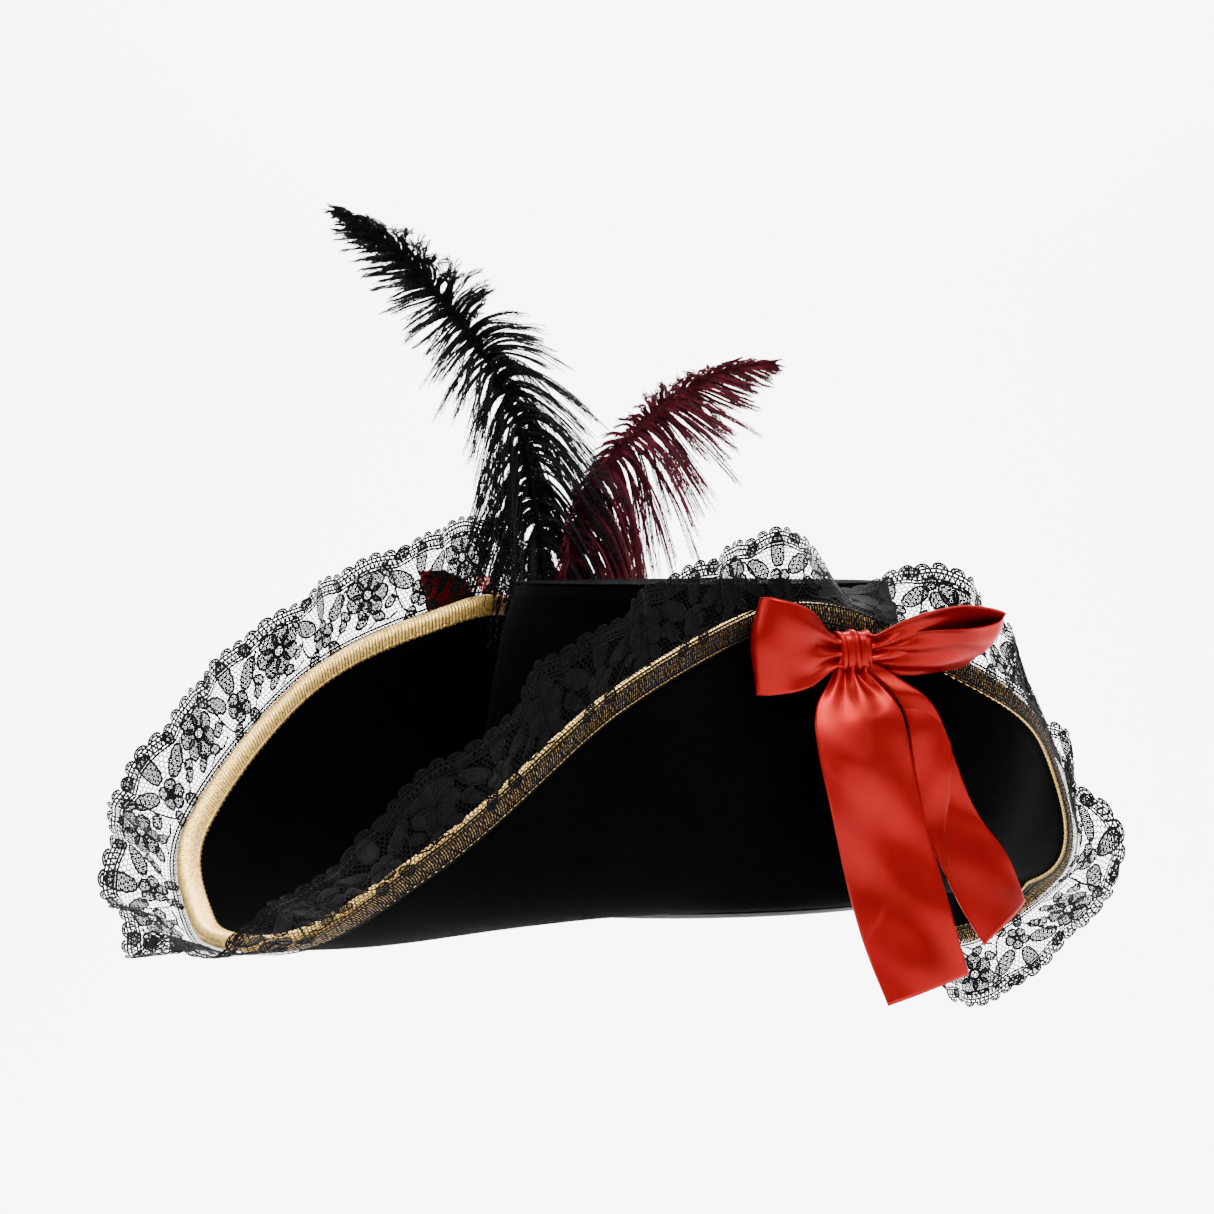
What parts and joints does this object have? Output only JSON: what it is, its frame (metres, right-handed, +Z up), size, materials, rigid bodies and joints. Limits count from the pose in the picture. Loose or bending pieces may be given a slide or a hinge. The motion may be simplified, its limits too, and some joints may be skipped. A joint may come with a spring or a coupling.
{
  "type": "pirate hat",
  "caption": "Tricorn style pirate hat with turned-up brim, gold binding, black lace edging, red ribbon bows and ostrich plumes.",
  "frame": {"origin": "middle of the head opening, in the plane where the crown meets the brim", "axes": "+Z up through the crown, -Y to the front point of the hat, +X to the wearer's left"},
  "size_m": [0.3398, 0.4436, 0.3541],
  "materials": {
    "velvet": "short velvet pile, very dark with a faint sheen at grazing angles",
    "felt": "matt pressed felt",
    "lining": "smooth woven lining",
    "sweatband": "grosgrain ribbed band",
    "wire": "drawn steel wire",
    "gold_braid": "metallic gold thread braid",
    "lace": "black nylon lace on net",
    "satin": "glossy red satin ribbon",
    "black_quill": "dyed quill, satin",
    "black_plume": "dyed ostrich plume barbs",
    "burgundy_quill": "dyed quill, satin",
    "burgundy_plume": "dyed ostrich plume barbs"
  },
  "bodies": {
    "root": {"crown_side_velvet": "velvet", "crown_top_velvet": "velvet", "crown_side_stiffener": "felt", "crown_top_stiffener": "felt", "crown_side_lining": "lining", "crown_top_lining": "lining", "sweatband": "sweatband", "brim_stiffener": "felt", "brim_upper_velvet": "velvet", "brim_under_velvet": "velvet", "brim_wire": "wire", "wire_ferrule": "wire", "gold_binding": "gold_braid", "lace_trim": "lace", "feather_patch": "felt", "left_bow_knot": "satin", "left_bow_front_loop": "satin", "left_bow_back_loop": "satin", "right_bow_knot": "satin", "right_bow_front_loop": "satin", "right_bow_back_loop": "satin"},
    "black_plume": {"black_feather_quill": "black_quill", "black_feather_front_barbs": "black_plume", "black_feather_back_barbs": "black_plume"},
    "burgundy_plume": {"burgundy_feather_quill": "burgundy_quill", "burgundy_feather_front_barbs": "burgundy_plume", "burgundy_feather_back_barbs": "burgundy_plume"},
    "left_first_tail": {"left_bow_first_tail": "satin"},
    "left_second_tail": {"left_bow_second_tail": "satin"},
    "right_first_tail": {"right_bow_first_tail": "satin"},
    "right_second_tail": {"right_bow_second_tail": "satin"}
  },
  "joints": [
    {"name": "black_plume_sway", "type": "hinge", "parent": "root", "child": "black_plume", "pos_m": [-0.0955, -0.01, 0.066], "axis": [0.995, -0.1, 0], "range_deg": [-10, 5], "stiffness_Nm_per_rad": 0.12},
    {"name": "burgundy_plume_sway", "type": "hinge", "parent": "root", "child": "burgundy_plume", "pos_m": [-0.089, -0.003, 0.066], "axis": [-0.9368, 0.3499, 0], "range_deg": [-5, 10], "stiffness_Nm_per_rad": 0.12},
    {"name": "left_first_tail_lift", "type": "hinge", "parent": "root", "child": "left_first_tail", "pos_m": [0.12022, -0.02606, 0.09231], "axis": [-0.38, -0.925, 0], "range_deg": [0, 55]},
    {"name": "left_second_tail_lift", "type": "hinge", "parent": "root", "child": "left_second_tail", "pos_m": [0.12388, -0.01189, 0.09231], "axis": [-0.38, -0.925, 0], "range_deg": [0, 55]},
    {"name": "right_first_tail_lift", "type": "hinge", "parent": "root", "child": "right_first_tail", "pos_m": [-0.12022, -0.02606, 0.10031], "axis": [-0.38, 0.925, 0], "range_deg": [0, 55]},
    {"name": "right_second_tail_lift", "type": "hinge", "parent": "root", "child": "right_second_tail", "pos_m": [-0.12388, -0.01189, 0.10031], "axis": [-0.38, 0.925, 0], "range_deg": [0, 55]}
  ]
}
